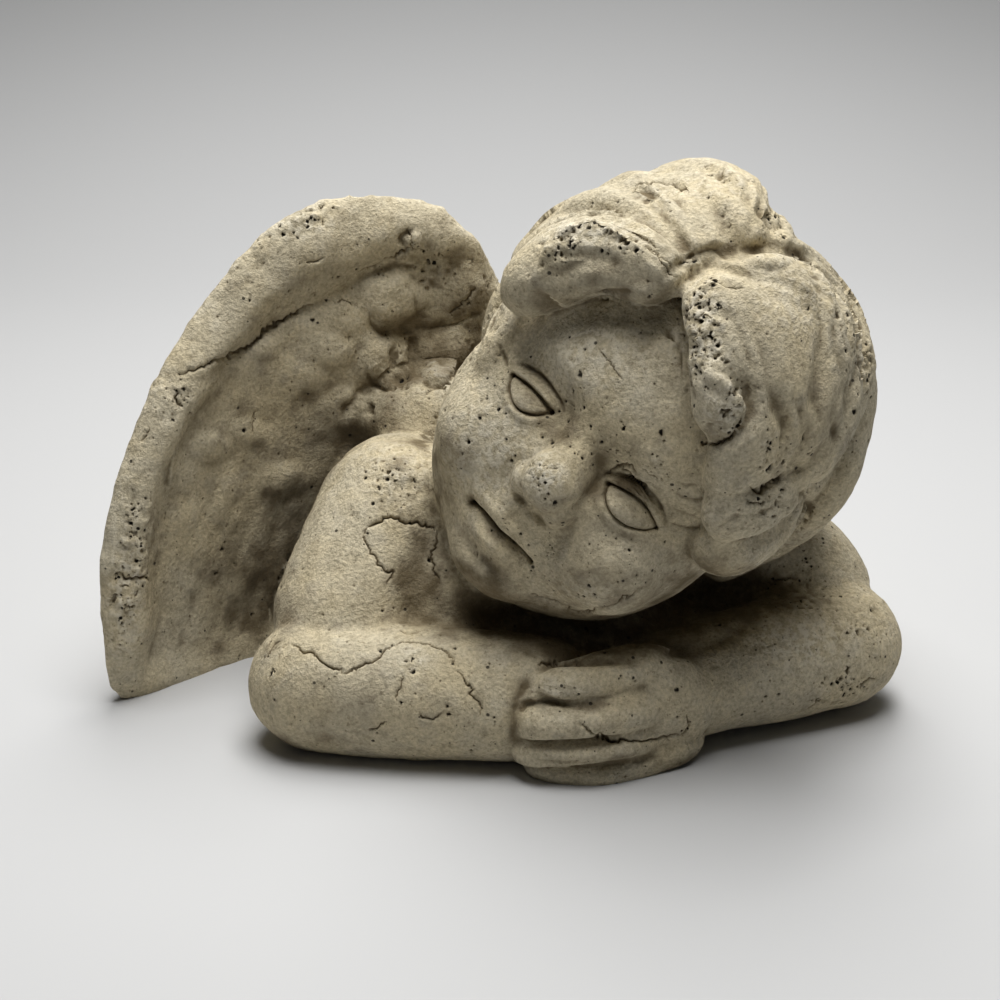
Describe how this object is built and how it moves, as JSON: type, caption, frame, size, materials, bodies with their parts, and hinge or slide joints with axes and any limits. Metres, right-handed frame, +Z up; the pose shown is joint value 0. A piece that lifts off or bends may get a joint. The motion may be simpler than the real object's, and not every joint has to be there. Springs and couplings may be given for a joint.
{
  "type": "cherub statue",
  "caption": "Sleeping winged cherub bust in cast concrete, head leaning on folded forearms, standing flat for a garden, shelf or table.",
  "frame": {"origin": "centre of the bounding box's bottom face, on the flat underside", "axes": "+X to the viewer's right across the folded arms, +Y away from the viewer, +Z up"},
  "size_m": [0.2632, 0.1534, 0.18],
  "materials": {
    "cast_concrete": "matt, weathered, pitted with air holes"
  },
  "bodies": {
    "root": {"sleeping_cherub": "cast_concrete"}
  },
  "joints": []
}
